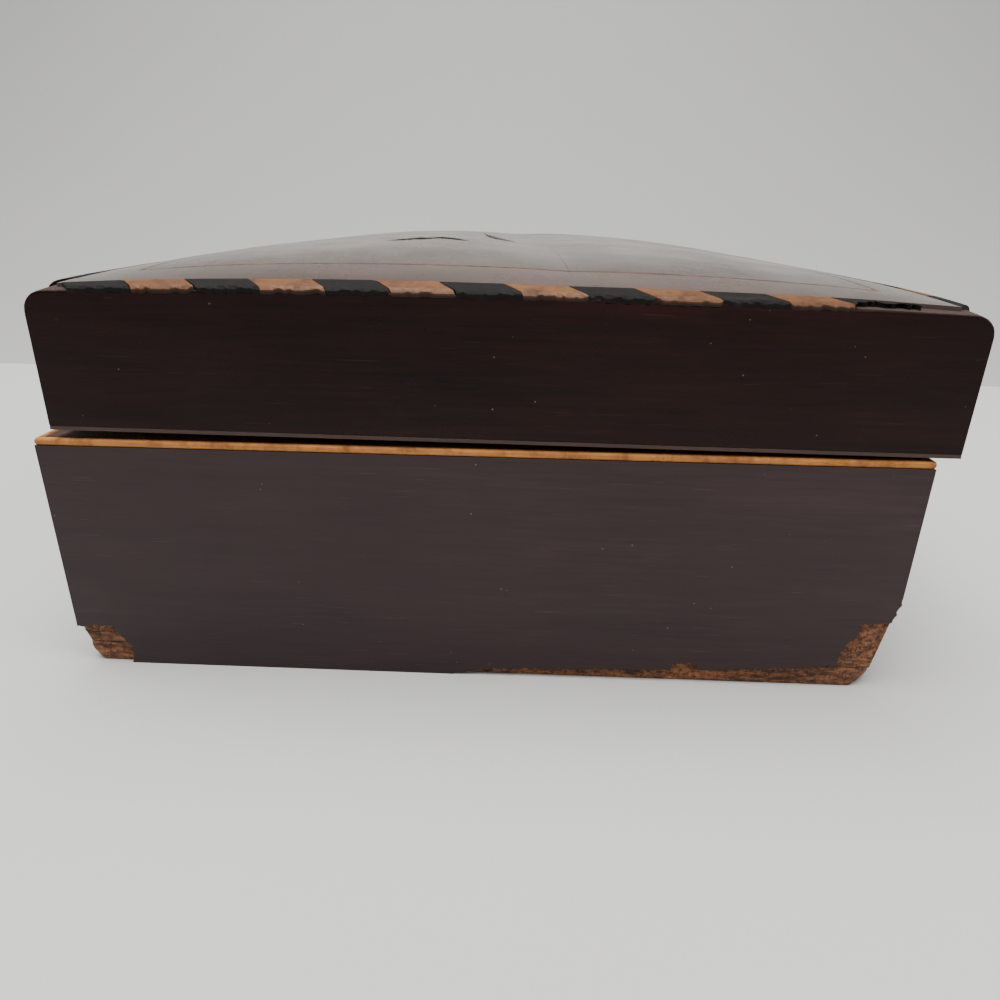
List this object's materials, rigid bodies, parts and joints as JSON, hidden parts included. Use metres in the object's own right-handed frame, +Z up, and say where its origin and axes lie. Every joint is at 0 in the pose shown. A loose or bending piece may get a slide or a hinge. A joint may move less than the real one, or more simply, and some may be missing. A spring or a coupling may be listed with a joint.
{
  "type": "keepsake box",
  "caption": "Rectangular veneered keepsake box with a crowned, banded lid on butt hinges, a light line round the base's rim and a box lock.",
  "frame": {"origin": "middle of the face that the box rests on", "axes": "+X from the lock side to the hinge side, +Y along the length from the right end to the left end, +Z up"},
  "size_m": [0.2486, 0.33, 0.1212],
  "materials": {
    "dark_veneer": "dark red-brown veneer, old polish, worn and scratched",
    "carcass_wood": "plain brown wood, sawn and planed, bare",
    "rim_wood": "reddish wood facing, worn",
    "boxwood": "pale yellow wood inlay, polished",
    "ebony": "black wood inlay, dull and dry",
    "lining_paper": "matt pasted paper, faded",
    "brass": "dull aged brass",
    "steel": "grey filed iron, slightly rusted"
  },
  "bodies": {
    "base": {"base_back_board": "carcass_wood", "base_back_stringing": "boxwood", "base_back_veneer": "dark_veneer", "base_floor_lining": "lining_paper", "base_front_board": "carcass_wood", "base_front_stringing": "boxwood", "base_front_veneer": "dark_veneer", "base_hinge_screws": "steel", "base_left_end_board": "carcass_wood", "base_left_end_stringing": "boxwood", "base_left_end_veneer": "dark_veneer", "base_right_end_board": "carcass_wood", "base_right_end_stringing": "boxwood", "base_right_end_veneer": "dark_veneer", "base_wall_lining": "lining_paper", "bottom_board": "carcass_wood", "keyhole_escutcheon": "brass", "left_hinge_base_leaf": "brass", "left_hinge_pin": "steel", "lock_case": "brass", "lock_plate": "brass", "lock_screws": "steel", "right_hinge_base_leaf": "brass", "right_hinge_pin": "steel"},
    "lid": {"banding_dark": "ebony", "banding_light": "boxwood", "left_hinge_lid_leaf": "brass", "lid_back_board": "carcass_wood", "lid_back_border": "dark_veneer", "lid_back_line": "boxwood", "lid_back_rim_facing": "rim_wood", "lid_back_veneer": "dark_veneer", "lid_ceiling_lining": "lining_paper", "lid_field_back_veneer": "dark_veneer", "lid_field_front_veneer": "dark_veneer", "lid_front_board": "carcass_wood", "lid_front_border": "dark_veneer", "lid_front_line": "boxwood", "lid_front_rim_facing": "rim_wood", "lid_front_veneer": "dark_veneer", "lid_hinge_screws": "steel", "lid_left_end_board": "carcass_wood", "lid_left_end_border": "dark_veneer", "lid_left_end_line": "boxwood", "lid_left_end_rim_facing": "rim_wood", "lid_left_end_veneer": "dark_veneer", "lid_right_end_board": "carcass_wood", "lid_right_end_border": "dark_veneer", "lid_right_end_line": "boxwood", "lid_right_end_rim_facing": "rim_wood", "lid_right_end_veneer": "dark_veneer", "lid_top_back_board": "carcass_wood", "lid_top_front_board": "carcass_wood", "lid_wall_lining": "lining_paper", "link_plate": "brass", "link_screws": "steel", "right_hinge_lid_leaf": "brass"},
    "bolt": {"lock_bolt": "steel"}
  },
  "joints": [
    {"name": "lid_hinge", "type": "hinge", "parent": "base", "child": "lid", "pos_m": [0.1254, 0, 0.0715], "axis": [0, 1, 0], "range_deg": [0, 99.5]},
    {"name": "bolt_slide", "type": "slide", "parent": "base", "child": "bolt", "axis": [0, 1, 0], "range_m": [0, 0.005]}
  ]
}
